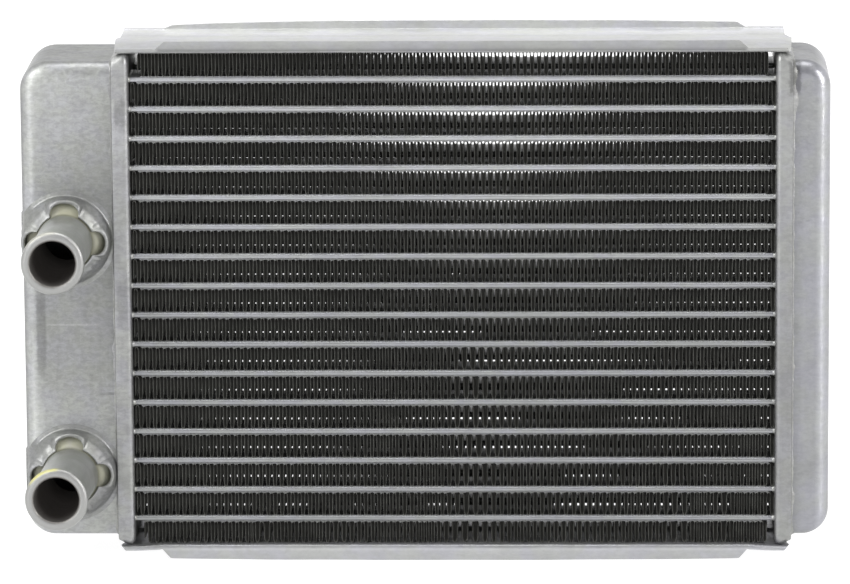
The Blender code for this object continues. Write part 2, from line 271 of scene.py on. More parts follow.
def sheet_metal(name, base, rough=0.42, metallic=0.85, grain=(900, 900, 90), stains=1.0, offset=0.0, lines=0.35, pits=0.5,
                front=1.0, top=1.0, lift=0.0, marks_at=(), zones=None, front_edge=None, mottle=0.10):
    """Dull brazed sheet: drawn grain, cloudy stains in two tints, faint scratches, small pits and a soft unevenness.
    front and top scale the colour of the faces that point to -Y and +Z as painted shade, lift paints the upper part
    lighter as painted light, marks_at lists stains and spots of painted shade as (x, y, z, half sizes in x, y, z,
    strength), zones lists (axis, low, high, stops, facing) for slow changes of painted light and shade along an axis,
    on all faces or on those that point to -Y or +Z, with a sixth value where they hold only up to that distance from
    x = 0, and front_edge is the depth up to which front holds. All of it is in millimetres of the part's own layout."""
    n = Nodes(name)
    o = (offset, offset * 1.7, offset * 0.6)
    geometry = n.new("ShaderNodeNewGeometry")
    facing = n.new("ShaderNodeSeparateXYZ")
    n.wire(geometry.outputs["Normal"], facing.inputs[0])
    place = n.xyz()
    mm = [n.math("SUBTRACT", n.math("MULTIPLY", place[k], 1000.0), float(SHIFT[k])) for k in range(3)]
    cloud = n.noise(55, 4.0, 0.6, o, 0.6)
    cloud_two = n.noise(130, 3.0, 0.55, (o[0] + 5, 3, 1))
    speck = n.noise(700, 2.0, 0.5, o)
    drawn = n.noise(grain, 2.0, 0.5, o)
    dark = tuple(c * 0.80 for c in base)
    light = tuple(min(1.0, c * 1.10) for c in base)
    green = (base[0] * 0.985, base[1] * 1.0, base[2] * 0.965)
    blue = (base[0] * 0.985, base[1] * 0.99, base[2] * 1.03)
    tint = n.mix(n.span(cloud_two, 0.38, 0.64), green, blue)
    colour = n.mix(n.math("MULTIPLY", n.span(cloud, 0.52, 0.74), 0.55 * stains), tint, dark)
    colour = n.mix(n.math("MULTIPLY", n.span(cloud, 0.44, 0.24), 0.5 * stains), colour, light)
    colour = n.mix(n.math("MULTIPLY", n.span(drawn, 0.50, 0.72), lines), colour, tuple(c * 0.86 for c in base))
    colour = n.mix(n.math("MULTIPLY", n.span(speck, 0.62, 0.72), 0.25 * pits), colour, tuple(c * 0.62 for c in base))
    # long thin scratches in two directions
    one = n.noise((14, 14, 1500), 1.0, 0.5, (o[0], 9, 4))
    two = n.noise((1700, 1700, 22), 1.0, 0.5, (3, o[0], 7))
    marks = n.math("MAXIMUM", n.span(one, 0.735, 0.77), n.math("MULTIPLY", n.span(two, 0.73, 0.77), 0.7))
    colour = n.mix(n.math("MULTIPLY", marks, 0.22), colour, light)
    wide = n.noise((26, 26, 15), 3.0, 0.55, (o[0] + 2, 8, o[0]), 0.5)
    colour = n.mix(n.math("MULTIPLY", n.span(wide, 0.46, 0.66), 0.34 * stains), colour, tuple(c * 0.70 for c in base))
    # stains, and spots of painted shade where a table lists them
    for x, y, z, sx, sy, sz, strength in marks_at:
        near = 1.0
        for axis, (middle, half) in enumerate(((x, sx), (y, sy), (z, sz))):
            away = n.math("DIVIDE", n.math("ABSOLUTE", n.math("SUBTRACT", mm[axis], middle)), half)
            near = n.math("MULTIPLY", near, n.span(away, 1.3, 0.5))
        ragged = n.math("MULTIPLY", near, n.span(n.math("ADD", speck, n.math("MULTIPLY", near, 0.4)), 0.5, 0.85))
        colour = n.mix(n.math("MULTIPLY", ragged, abs(strength)), colour,
                       tuple(min(1.0, c * (0.30 if strength > 0 else 1.5)) for c in base))
    # painted shade: faces that point to -Y and +Z are scaled by front and top, and lift paints the upper part lighter
    # as painted light
    ahead = n.span(n.math("MULTIPLY", facing.outputs[1], -1.0), 0.45, 0.95)
    if front_edge:
        ahead = n.math("MULTIPLY", ahead, n.span(mm[1], front_edge + 1.0, front_edge - 1.0))
    above = n.span(facing.outputs[2], 0.45, 0.95)
    shade = n.math("MULTIPLY", n.span(ahead, 0.0, 1.0, 1.0, front, False), n.span(above, 0.0, 1.0, 1.0, top, False))
    shade = n.math("MULTIPLY", shade, n.span(mm[2], 62.0, 150.0, 1.0, 1.0 + lift))
    # painted light and shade: slow changes of tone along an axis, from the zones tables
    for axis, low, high, stops, side, *reach in zones or ():
        factor = n.ramp(mm[axis], low, high, stops)
        if side:
            share = n.span(n.math("MULTIPLY", facing.outputs[1], -1.0), 0.80, 0.985) if side == "front" else above
            if reach:
                share = n.math("MULTIPLY", share, n.span(n.math("ABSOLUTE", mm[0]), reach[0] + 0.8, reach[0] - 0.8))
            if front_edge and side == "front" and axis == 2:
                share = n.math("MULTIPLY", share, n.span(mm[1], front_edge + 1.0, front_edge - 1.0))
            factor = n.math("ADD", 1.0, n.math("MULTIPLY", share, n.math("SUBTRACT", factor, 1.0)))
        shade = n.math("MULTIPLY", shade, factor)
    patches = n.noise((430, 430, 820), 4.0, 0.72, (o[0] + 4, 6, o[0]), 0.5)
    shade = n.math("MULTIPLY", shade, n.span(patches, 0.34, 0.66, 1.0 - mottle, 1.0 + mottle * 0.7))
    tone = n.new("ShaderNodeCombineColor")
    for index in range(3):
        n.wire(shade, tone.inputs[index])
    colour = n.mix(1.0, colour, tone.outputs[0], "MULTIPLY")
    roughness = n.math("ADD", rough - 0.05, n.math("MULTIPLY", n.span(cloud, 0.3, 0.75), 0.13))
    roughness = n.math("ADD", roughness, n.math("MULTIPLY", n.span(drawn, 0.4, 0.7), 0.05))
    normal = n.bump(cloud_two, 0.35, 0.0012)
    normal = n.bump(drawn, 0.22, 0.00012, normal)
    normal = n.bump(speck, 0.28, 0.00012, normal)
    normal = n.bump(n.math("SUBTRACT", 1.0, marks), 0.12, 0.00006, normal)
    return n.finish(colour, roughness, metallic, normal)


# ---------------------------------------------------------------- tanks
def tank_loop(side, far, mouth, inset, corner, steps):
    radius = corner - inset
    top, bottom, out = TANK_Z1 - inset, TANK_Z0 + inset, far - inset
    points = [(mouth, bottom), (mouth, top)]
    points += arc(out - radius, top - radius, radius, 90, 0, steps)
    points += arc(out - radius, bottom + radius, radius, 0, -90, steps)
    return [(side * x, z) for x, z in points]


def tank_block(name, side, far, mouth, inset, corner, edge, steps=16, rounds=10):
    front, back = TANK_FRONT + inset, TANK_BACK - inset
    stations = [(front, edge + 0.5)]
    for k in range(rounds + 1):
        a = math.radians(90 * k / rounds)
        stations.append((front + edge * (1 - math.cos(a)), edge * (1 - math.sin(a))))
    for k in range(rounds + 1):
        a = math.radians(90 - 90 * k / rounds)
        stations.append((back - edge * (1 - math.cos(a)), edge * (1 - math.sin(a))))
    stations.append((back, edge + 0.5))
    build = Builder()
    build.loft([[(x, y, z) for x, z in tank_loop(side, far, mouth, inset + s, corner, steps)] for y, s in stations])
    return build.link(name, None, None)


def turned(x, z, rings, steps=96):
    return [
        [(x + r * math.cos(2 * math.pi * i / steps), y, z + r * math.sin(2 * math.pi * i / steps)) for i in range(steps)]
        for y, r in rings
    ]


def make_tank(name, node, side, far, corner, mat, holes=()):
    block = tank_block(name, side, far, TANK_MOUTH, 0, corner, TANK_EDGE)
    cutters = [tank_block(name + "_cut", side, far, 90.0, TANK_WALL, corner, TANK_EDGE - TANK_WALL, 10, 6)]
    for x, z in holes:
        build = Builder()
        build.loft(turned(x, z, [(-8.0, STUB_PIPE + 0.1), (9.0, STUB_PIPE + 0.1)]))
        cutters.append(build.link(name + "_hole", None, None))
    cut(block, cutters)
    block.data.materials.clear()
    block.data.materials.append(mat)
    block.data.shade_smooth()
    block.data.set_sharp_from_angle(angle=math.radians(33))
    block.modifiers.new("normals", "WEIGHTED_NORMAL").keep_sharp = True
    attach(block, "root")
    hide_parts(node)
    return block


def tank_surface_y(x):
    """Depth of the left tank's front surface at x, along its rounded outer edge."""
    off = -x - (TANK_LEFT - TANK_EDGE)
    if off <= 0:
        return TANK_FRONT
    off = min(off, TANK_EDGE * 0.999)
    return TANK_FRONT + TANK_EDGE - math.sqrt(TANK_EDGE**2 - off**2)


def smooth_step(low, high, value):
    """0 at low and 1 at high, whichever of the two is larger."""
    t = min(1.0, max(0.0, (value - low) / (high - low)))
    return t * t * (3 - 2 * t)


def make_collar(name, x0, z0, mat, seed, dimple, turn=0.0):
    """The wall raised from the tank round a stub's foot: four upright lobes with rounded rims, and between them four
    smooth faces where the wall is pressed in over the stub's bead. dimple is the angle of a small punch mark."""
    rng = np.random.default_rng(seed)
    wobble = wave_noise(rng, 5, 0.3, 1.3)
    rim = wave_noise(rng, 5, 0.3, 1.1)
    widths = [rng.uniform(-1.6, 1.6) for _ in range(4)]
    steps = 360
    loops = []
    # (kind, radius on a lobe, y on a lobe, radius on a pressed face, y on a pressed face)
    rings = [
        ("skin", 15.9, 0.07, 15.9, 0.07),
        ("skin", 15.3, 0.02, 15.3, 0.02),
        ("skin", 14.9, -0.05, 14.9, -0.05),
        ("skin", 14.6, -0.17, 14.6, -0.17),
        ("skin", 14.3, -0.24, 14.3, -0.24),
        ("free", 14.0, 1.00, 14.0, 1.00),
        ("free", 13.72, 0.75, 13.72, 0.75),
        ("free", 13.55, 0.30, 13.45, 0.35),
        ("free", 13.46, -0.4, 13.15, -0.25),
        ("free", 13.42, -1.6, 12.45, -1.20),
        ("free", 13.40, -2.6, 11.90, -2.40),
        ("free", 13.38, -3.3, 11.25, -3.20),
        ("free", 13.32, -3.8, 10.60, -3.70),
        ("free", 13.20, -4.15, 10.05, -4.00),
        ("free", 12.98, -4.36, 9.60, -4.36),
        ("free", 12.66, -4.42, 9.28, -4.60),
        ("free", 12.36, -4.32, 9.06, -4.64),
        ("free", 12.16, -4.02, 8.92, -4.50),
        ("free", 12.08, -3.2, 8.84, -4.20),
        ("free", 12.05, -1.6, 8.78, -3.60),
        ("free", 12.03, -0.2, 8.72, -2.60),
        ("free", 11.95, 0.5, 8.66, -1.20),
        ("free", 8.60, 0.9, 8.60, 0.9),
        ("free", 8.55, 3.0, 8.55, 3.0),
    ]
    for kind, r_lobe, y_lobe, r_stake, y_stake in rings:
        loop = []
        for i in range(steps):
            angle = 2 * math.pi * i / steps
            turned_by = (math.degrees(angle) - turn) % 360
            lobe = int(((turned_by + 45) % 360) // 90)
            off = turned_by % 90
            off = min(off, 90 - off)
            limit = 17.0 + 0.6 * widths[lobe] + (5.0 if lobe == 1 else 0.0)
            arch = min(1.0, off / (limit + 5.5))
            stake = 1.0 - (1.0 - arch**2.4) ** 0.62
            # a pressed face is flat, so its radius grows away from its middle
            flat = 1 / math.cos(math.radians(min(26.0, 45 - off))) if off > 15 else 1 / math.cos(math.radians(26.0))
            r_face = r_stake
            if kind == "free" and 9.0 < r_stake < 13.2:
                r_face = r_stake + (flat - 1) * 6.5 * min(1.0, (r_stake - 9.0) / 1.6)
            r = r_lobe + (r_face - r_lobe) * stake
            y = y_lobe + (y_stake - y_lobe) * stake
            if kind == "free" and y < 0:
                r += 0.045 * float(wobble(angle * 3.0)) + 0.05 * float(rim(angle * 2.0 + y * 0.2))
                y += 0.05 * float(wobble(angle * 3.0 + 2.0))
            # the rim bulges slightly where a lobe turns in toward the pipe
            knee = math.exp(-(((off - limit) / 3.2) ** 2))
            if kind == "free" and y_lobe < -3:
                y -= 0.22 * knee
            # the pressed faces are dished in their middle
            if kind == "free" and 9.7 < r_stake < 12.8:
                y += 0.28 * smooth_step(17.0, 12.5, 45 - off) * stake * smooth_step(9.7, 10.2, r_stake) * smooth_step(12.8, 12.0, r_stake)
            # small punch mark
            far = abs((math.degrees(angle) - dimple + 180) % 360 - 180)
            if kind == "free" and 10.1 < r_stake < 13.0:
                mark = smooth_step(9.0, 6.5, far) if far < 9 else 0.0
                deep = smooth_step(10.4, 11.0, r_stake) * smooth_step(12.6, 12.0, r_stake) if r_stake < 12.6 else 0.0
                y += 0.30 * mark * deep
            x = x0 + r * math.cos(angle)
            z = z0 + r * math.sin(angle)
            x = max(x, -TANK_LEFT - 0.35)
            if kind == "skin":
                y = tank_surface_y(x) + y
            elif y > -0.8 and r > 13.0:
                depth = tank_surface_y(x) - TANK_FRONT
                y = y + depth * smooth_step(-0.9, 0.5, y) * 0.8
            loop.append((x, y, z))
        loops.append(loop)
    build = Builder()
    build.loft(loops, cap_start=False, cap_end=False)
    # close the underside inside the tank wall
    n = steps
    last = len(loops) - 1
    for i in range(n):
        j = (i + 1) % n
        build.faces.append((last * n + i, last * n + j, j, i))
    return build.link(name, mat, "tank", sharp=75)


def make_stub(name, node, place, mat, seed):
    """A straight tube that leans slightly from its foot to its mouth, with a thick rolled end and a wide bead at the
    foot."""
    rng = np.random.default_rng(seed)
    wobble = wave_noise(rng, 5, 0.2, 1.0)
    foot_x, foot_z, mouth_x, mouth_z = place
    rings = [
        (STUB_FOOT, STUB_PIPE - 0.1),
        (0.6, STUB_PIPE - 0.1),
        (0.5, 11.5),
        (0.2, 11.95),
        (-0.5, 12.02),
        (-1.2, 12.00),
        (-1.75, 11.80),
        (-2.2, 11.35),
        (-2.6, 10.70),
        (-3.0, 9.98),
        (-3.5, 9.30),
        (-4.1, 8.80),
        (-4.9, 8.46),
        (-5.8, STUB_PIPE),
        (-12.0, STUB_PIPE),
        (-20.0, STUB_PIPE),
        (-28.0, STUB_PIPE),
        (-34.0, STUB_PIPE),
        (-34.9, STUB_PIPE + 0.07),
        (-35.6, STUB_PIPE + 0.30),
        (-36.2, STUB_PIPE + 0.64),
        (-36.8, STUB_OUTER - 0.20),
        (-37.3, STUB_OUTER - 0.03),
        (-37.7, STUB_OUTER),
    ]
    for k in range(1, 9):
        a = math.radians(90 * k / 8)
        rings.append((STUB_MOUTH + 1.3 - 1.25 * math.sin(a), STUB_OUTER - 0.02 - 1.35 * (1 - math.cos(a))))
    rings += [
        (STUB_MOUTH, STUB_OUTER - 1.7),
        (STUB_MOUTH + 0.02, STUB_BORE + 0.90),
        (STUB_MOUTH + 0.08, STUB_BORE + 0.62),
        (STUB_MOUTH + 0.22, STUB_BORE + 0.36),
        (STUB_MOUTH + 0.48, STUB_BORE + 0.14),
        (STUB_MOUTH + 0.90, STUB_BORE),
        (-34.0, STUB_BORE),
        (-25.0, STUB_BORE),
        (-12.0, STUB_BORE),
        (STUB_FOOT, STUB_BORE),
    ]
    out = []
    for y, r in rings:
        along = min(1.0, max(0.0, y / STUB_MOUTH))
        (loop,) = turned(foot_x + (mouth_x - foot_x) * along, foot_z + (mouth_z - foot_z) * along, [(y, r)], 128)
        new = []
        for i, (px, py, pz) in enumerate(loop):
            a = 2 * math.pi * i / 128
            extra = 0.04 * float(wobble(a * 3 + y * 0.05)) if r > 8 and y > -38 else 0.0
            if -2.8 < y < 0.4 and r > 10:
                extra += 0.05 * float(wobble(a * 5 + 3))
            new.append((px + extra * math.cos(a), py, pz + extra * math.sin(a)))
        out.append(new)
    build = Builder()
    build.loft(out, ring=True)
    obj = build.link(name, mat, "hose_stub", sharp=40)
    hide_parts(node)
    return obj


# ---------------------------------------------------------------- header plates
def rounded_loop(y0, y1, z0, z1, radius, steps=8):
    points = []
    points += arc(y1 - radius, z1 - radius, radius, 0, 90, steps)
    points += arc(y0 + radius, z1 - radius, radius, 90, 180, steps)
    points += arc(y0 + radius, z0 + radius, radius, 180, 270, steps)
    points += arc(y1 - radius, z0 + radius, radius, 270, 360, steps)
    return points


def header_taper(x):
    return 1.4 * min(1.0, max(0.0, (x - 100.0) / (HEADER_OUT - 100.0)))


def make_header(name, node, side, mat):
    edge, sheet, rim, corner = 1.6, 1.3, 1.0, 3.0

    def loop(x, inset, radius):
        end = inset + header_taper(x)
        return [(side * x, y, z) for y, z in rounded_loop(inset, DEPTH - inset, HEADER_Z0 + end, HEADER_Z1 - end, radius)]

    loops = [loop(HEADER_IN, edge + 0.5, 1.7)]
    for k in range(9):
        a = math.radians(90 * k / 8)
        inset = edge * (1 - math.sin(a))
        loops.append(loop(HEADER_IN + edge * (1 - math.cos(a)), inset, corner - inset * 0.6))
    for x in (100.2, 101.0, 102.0, 102.7):
        loops.append(loop(x, 0, corner))
    loops.append(loop(HEADER_OUT - 0.1, 0.06, corner))
    loops.append(loop(HEADER_OUT, 0.22, corner - 0.2))
    loops.append(loop(HEADER_OUT, rim - 0.15, corner - rim))
    loops.append(loop(HEADER_OUT - 0.12, rim, corner - rim))
    loops.append(loop(101.2, rim, corner - rim))
    loops.append(loop(HEADER_IN + sheet, rim, corner - rim))
    build = Builder()
    build.loft(loops)
    plate = build.link(name, None, None)
    slots = Builder()
    for index in range(TUBES):
        z = TUBE_TOP_Z - PITCH * index
        for _, front, back in TUBE_ROWS:
            slots.loft([[(side * x, y, zz) for y, zz in oval(front, back, 0.04, z)]
                        for x in (HEADER_IN - 1.0, HEADER_IN + 2.0)])
    cut(plate, [slots.link(name + "_slots", None, None)])
    plate.data.materials.clear()
    plate.data.materials.append(mat)
    plate.data.shade_smooth()
    plate.data.set_sharp_from_angle(angle=math.radians(33))
    plate.modifiers.new("normals", "WEIGHTED_NORMAL").keep_sharp = True
    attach(plate, "root")
    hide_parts(node)
    return plate


def make_seam(name, side, mat, seed, blobs):
    """The irregular bead of braze that fills the step between a header plate's rim and its tank, all the way round."""
    rng = np.random.default_rng(seed)
    width = wave_noise(rng, 14, 0.02, 0.22)
    lump = wave_noise(rng, 18, 0.12, 0.7)
    outline = []
    base = rounded_loop(TANK_FRONT, TANK_BACK, TANK_Z0, TANK_Z1, 3.4, 10)
    for (y0, z0), (y1, z1) in zip(base, base[1:] + base[:1]):
        length = math.hypot(y1 - y0, z1 - z0)
        count = max(1, int(length / 0.6))
        outline += [(y0 + (y1 - y0) * k / count, z0 + (z1 - z0) * k / count) for k in range(count)]
    run = 0.0
    centre = (DEPTH / 2, (TANK_Z0 + TANK_Z1) / 2)
    rows = []
    total = len(outline)
    for k, (y, z) in enumerate(outline):
        py, pz = outline[k - 1]
        ny, nz = outline[(k + 1) % total]
        run += math.hypot(y - py, z - pz)
        ty, tz = ny - py, nz - pz
        size = math.hypot(ty, tz) or 1.0
        oy, oz = tz / size, -ty / size
        if (y - centre[0]) * oy + (z - centre[1]) * oz < 0:
            oy, oz = -oy, -oz
        w = 0.75 + 0.55 * float(width(run)) + 0.35 * float(lump(run))
        for bz, span, extra in blobs:
            if y < 3:
                w += extra * math.exp(-(((z - bz) / span) ** 2))
        w = max(0.22, w)
        h = min(1.12, 0.55 + 0.35 * w + 0.12 * float(lump(run * 1.7)))
        points = []
        for t in (0.0, 0.15, 0.35, 0.6, 0.82, 1.0):
            lift = h * (1 - t) ** 1.8 - 0.06 * t
            points.append((side * (HEADER_OUT - 0.35 + (w + 0.35) * t), y + oy * lift, z + oz * lift))
        points.append((side * (HEADER_OUT - 0.35), y - oy * 0.1, z - oz * 0.1))
        rows.append(points)
    build = Builder()
    build.loft(rows, closed=True, ring=True)
    return build.link(name, mat, "header_plate", sharp=60)


# ---------------------------------------------------------------- tubes
def oval(front, back, grow, z, steps=8, wall=0.0):
    half = TUBE_HALF + grow - wall
    y0, y1 = front - grow + wall, back + grow - wall
    points = []
    for cy, start in ((y1 - half, -90), (y0 + half, 90)):
        for k in range(steps + 1):
            a = math.radians(start + 180 * k / steps)
            points.append((cy + half * math.cos(a), z + half * math.sin(a)))
    return points


def make_tube(index, row, front, back, mat):
    rng = np.random.default_rng(500 + index + (100 if row == "rear" else 0))
    sway, swell, nose = (wave_noise(rng, 7, 0.004, 0.05) for _ in range(3))
    z = TUBE_TOP_Z - PITCH * index
    xs = np.linspace(-TUBE_REACH, TUBE_REACH, 38)
    outer, inner = [], []
    for x in xs:
        fade = min(1.0, (TUBE_REACH - abs(x)) / 12.0)
        dz = 0.07 * float(sway(x)) * fade
        dy = 0.10 * float(nose(x)) * fade
        fat = 0.04 * float(swell(x)) * fade
        for wall, rows in ((0.0, outer), (TUBE_WALL, inner)):
            loop = []
            for y, zz in oval(front, back, 0.0, z, 6, wall):
                near = 1.0 if y < front + 3 else 0.0
                loop.append((x, y + dy * near, z + (zz - z) * (1 + fat) + dz))
            rows.append(loop)
    build = Builder()
    build.loft(outer + inner[::-1], ring=True)
    obj = build.link(f"flat_tube_shell_{row}_{index + 1:02d}", mat, "flat_tube", sharp=50)
    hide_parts(f"flat_tube_{row}_{index + 1:02d}")
    return obj


def make_tube_fillets(name, side, mat, seed):
    """Small rings of braze where each tube enters the header plate."""
    rng = np.random.default_rng(seed)
    build = Builder()
    for index in range(TUBES):
        z = TUBE_TOP_Z - PITCH * index
        for _, front, back in TUBE_ROWS:
            size = rng.uniform(0.28, 0.5)
            loops = []
            for grow, x in ((-0.10, HEADER_IN + 0.35), (size, HEADER_IN + 0.08), (size * 0.55, HEADER_IN - size * 0.35),
                            (size * 0.22, HEADER_IN - size * 0.9), (0.015, HEADER_IN - size * 1.7),
                            (-0.10, HEADER_IN - size * 1.7)):
                loops.append([(side * x, y, zz) for y, zz in oval(front, back, grow, z, 6)])
            build.loft(loops, ring=True)
    return build.link(name, mat, "header_plate", sharp=60)


def make_fin_fillets(name, mat):
    """Thin uneven beads of braze along the tubes' front edges, with a small point at every fold of the fin strips."""
    rng = np.random.default_rng(613)
    build = Builder()
    for index in range(TUBES):
        z = TUBE_TOP_Z - PITCH * index
        for up in (1, -1):
            folds = fold_places(index if up > 0 else index + 1)
            spots = folds[1] if up > 0 else folds[0]
            spots = spots[np.abs(spots) < TUBE_REACH - 3.5]
            sizes = rng.uniform(0.12, 0.26, len(spots)) if up > 0 else rng.uniform(0.34, 0.68, len(spots))
            rows = []
            for x in sorted([s + d for s in spots.tolist() for d in (-0.62, -0.28, 0.0, 0.28)]):
                near = np.argmin(np.abs(spots - x))
                rise = 0.05 + float(sizes[near]) * math.exp(-((float(spots[near]) - x) / (0.34 if up > 0 else 0.42)) ** 2)
                front = 2.5 + TUBE_HALF * 0.45
                base = z + up * (TUBE_HALF * 0.80)
                top = z + up * (TUBE_HALF + rise)
                rows.append([(x, front, base), (x, front + 0.12, top), (x, front + 1.3, top), (x, front + 1.6, base)])
            build.loft(rows)
    return build.link(name, mat, "flat_tube", sharp=60)


# ---------------------------------------------------------------- fins
SLIPS = {
    # where along x (mm) a strip runs half a fold out of step with the strip below it, by the number of the strip
    8: ((-4.0, 4.5),),
    10: ((-20.5, 9.5), (44.0, 63.5)),
    11: ((6.0, 83.0),),
    12: ((54.5, 67.5),),
    13: ((-12.5, 19.5), (48.0, 74.0), (79.5, 90.5)),
    14: ((-7.5, 37.5), (79.5, 84.5)),
    15: ((30.5, 52.0), (66.0, 71.0), (80.0, 84.5)),
    16: ((-61.5, -58.0), (-42.0, -35.5), (-9.5, 3.5), (30.0, 55.5), (61.0, 64.5), (80.5, 84.5)),
}


# sideways run of a strip's legs per millimetre of depth, and the angle of its louvres, for the upper strips
FIN_LEAN = {0: (-0.0103, 8.0), 1: (-0.0158, 24.0), 2: (-0.0182, 15.0), 3: (-0.0166, 13.0), 4: (-0.0187, 24.0), 5: (-0.0150, 27.0)}


def strip_phase(index, x):
    """How far the folds of a strip are moved along x."""
    x = np.asarray(x, float)
    total = np.zeros_like(x)
    for number in range(1, index + 1):
        way = 1 if number % 2 else -1
        for low, high in SLIPS.get(number, ()):
            edge = min(2.0, (high - low) * 0.24)
            inside = 1 / (1 + np.exp(-(x - low) / edge)) - 1 / (1 + np.exp(-(x - high) / edge))
            middle = (low + high) / 2
            total += inside * (way * 1.0714 + 0.0095 * (middle - 17.4))
    rng = np.random.default_rng(4100 + index)
    drift = wave_noise(rng, 9, 0.004, 0.03)
    return total + 0.10 * drift(x)


def fold_places(index):
    """The x positions of a strip's upper and lower folds."""
    end = index in (0, TUBES)
    waves, reach = (89, FIN_REACH_END) if end else (91, FIN_REACH)
    step = reach / waves
    base = -reach + step * (np.arange(2 * waves) + 0.5)
    rng = np.random.default_rng(900 + index)
    fade = np.clip((reach - np.abs(base)) / 5.0, 0, 1)
    places = base + fade * strip_phase(index, base) + fade * rng.normal(0, 0.035, len(base))
    return places[0::2], places[1::2]


def make_fin(index, mat):
    """One strip of thin sheet, folded up and down. The legs stand almost parallel, and every leg has a bank of ten
    louvres over the front tube and one over the rear tube, which lean opposite ways."""
    z1 = (TUBE_TOP_Z - PITCH * (index - 1) - TUBE_HALF) if index else WEB_TOP
    z0 = (TUBE_TOP_Z - PITCH * index + TUBE_HALF) if index < TUBES else WEB_BOTTOM + WEB_RISE
    z1, z0 = z1 - 0.02, z0 + 0.02
    upper, lower = fold_places(index)
    thick = 0.052
    skew, lean = FIN_LEAN.get(index, (-0.0133, 26.0))
    radius = 0.40
    top_z, low_z = z1 - radius - thick, z0 + radius + thick
    cut_at = 0.12
    verts, faces = [], []

    def path_x(u, x_top, x_low):
        """x of a leg at the share u of the way down."""
        return x_top + (x_low - x_top) * (0.10 * u + 0.90 * (0.5 + 0.5 * (2 * u - 1) ** 9))

    def path_z(u):
        return top_z + (low_z - top_z) * u

    def box8(points):
        """Adds a closed six-sided solid from eight points: four of one end, then four of the other."""
        k = len(verts)
        verts.extend(points)
        faces.extend([(k, k + 3, k + 2, k + 1), (k + 4, k + 5, k + 6, k + 7), (k, k + 1, k + 5, k + 4),
                      (k + 1, k + 2, k + 6, k + 5), (k + 2, k + 3, k + 7, k + 6), (k + 3, k, k + 4, k + 7)])

    def sheared(px, py, pz):
        return (px + skew * (py - 21.0), py, pz)

    # the sheet's run: the folds in order, and a leg between each two of them
    folds = []
    for k in range(len(upper)):
        folds += [(upper[k], True), (lower[k], False)]
    first_leg = (upper[0] - (lower[0] - upper[0]), False)
    last_leg = (lower[-1] + (lower[-1] - upper[-1]), True)
    run = [first_leg] + folds + [last_leg]
    legs = []
    for (xa, top), (xb, _) in zip(run, run[1:]):
        x_top, x_low = (xa + radius, xb - radius) if top else (xb - radius, xa + radius)
        legs.append((x_top, x_low))

    # folds: from one leg's margin round to the next leg's margin, all the way through the depth
    for i, (centre, top) in enumerate(folds):
        before, after = legs[i], legs[i + 1]
        us = (cut_at, 0.05, 0.0) if top else (1 - cut_at, 0.95, 1.0)
        path = [(path_x(u, *before), path_z(u)) for u in us]
        for k in range(1, 4):
            a = math.radians(180 - 180 * k / 4) if top else math.radians(180 + 180 * k / 4)
            path.append((centre + radius * math.cos(a), (top_z if top else low_z) + radius * math.sin(a)))
        path += [(path_x(u, *after), path_z(u)) for u in reversed(us)]
        points = np.array(path)
        tangent = np.gradient(points, axis=0)
        tangent /= np.linalg.norm(tangent, axis=1)[:, None]
        normal = np.stack([-tangent[:, 1], tangent[:, 0]], 1)
        plus, minus = points + normal * thick, points - normal * thick
        ring = list(plus) + list(minus[::-1])
        k = len(verts)
        m = len(ring)
        for y in (FIN_FRONT, FIN_BACK):
            verts.extend([sheared(p[0], y, p[1]) for p in ring])
        for a in range(m):
            b = (a + 1) % m
            faces.append((k + a, k + b, k + m + b, k + m + a))
        count = len(plus)
        for a in range(count - 1):
            faces.append((k + a, k + m - 1 - a, k + m - 2 - a, k + a + 1))
            faces.append((k + m + a, k + m + a + 1, k + 2 * m - 2 - a, k + 2 * m - 1 - a))

    if index == 0:
        # both ends of the top strip are bent over toward the header plates
        for side, x_end in ((-1, legs[0][0]), (1, legs[-1][0])):
            bend = [(x_end, z1 - 0.16), (x_end + side * 0.55, z1 - 0.14), (x_end + side * 1.0, z1 - 0.50), (x_end + side * 1.2, z1 - 1.30)]
            for (xa, za), (xb, zb) in zip(bend, bend[1:]):
                size = math.hypot(xb - xa, zb - za)
                nx, nz = (zb - za) / size * thick, -(xb - xa) / size * thick
                box8([sheared(xa - nx, FIN_FRONT, za - nz), sheared(xa + nx, FIN_FRONT, za + nz),
                      sheared(xa + nx, FIN_BACK, za + nz), sheared(xa - nx, FIN_BACK, za - nz),
                      sheared(xb - nx, FIN_FRONT, zb - nz), sheared(xb + nx, FIN_FRONT, zb + nz),
                      sheared(xb + nx, FIN_BACK, zb + nz), sheared(xb - nx, FIN_BACK, zb - nz)])

    flats = ((FIN_FRONT, 4.4), (17.2, 24.8), (37.6, FIN_BACK))
    banks = ((4.4, 17.2, 1), (24.8, 37.6, -1))
    slats = 10
    for x_top, x_low in legs:
        za, zb = path_z(1 - cut_at) - 0.08, path_z(cut_at) + 0.08
        xt, xl = path_x(cut_at, x_top, x_low), path_x(1 - cut_at, x_top, x_low)
        for ya, yb in flats:
            box8([sheared(xl - thick, ya, za), sheared(xl + thick, ya, za), sheared(xl + thick, yb, za), sheared(xl - thick, yb, za),
                  sheared(xt - thick, ya, zb), sheared(xt + thick, ya, zb), sheared(xt + thick, yb, zb), sheared(xt - thick, yb, zb)])
        for ya, yb, way in banks:
            pitch = (yb - ya) / slats
            tilt = math.radians(lean) * way
            w = pitch * 0.47
            cx, cy = w * math.sin(tilt), w * math.cos(tilt)
            nx, ny = 0.036 * math.cos(tilt), -0.036 * math.sin(tilt)
            for k in range(slats):
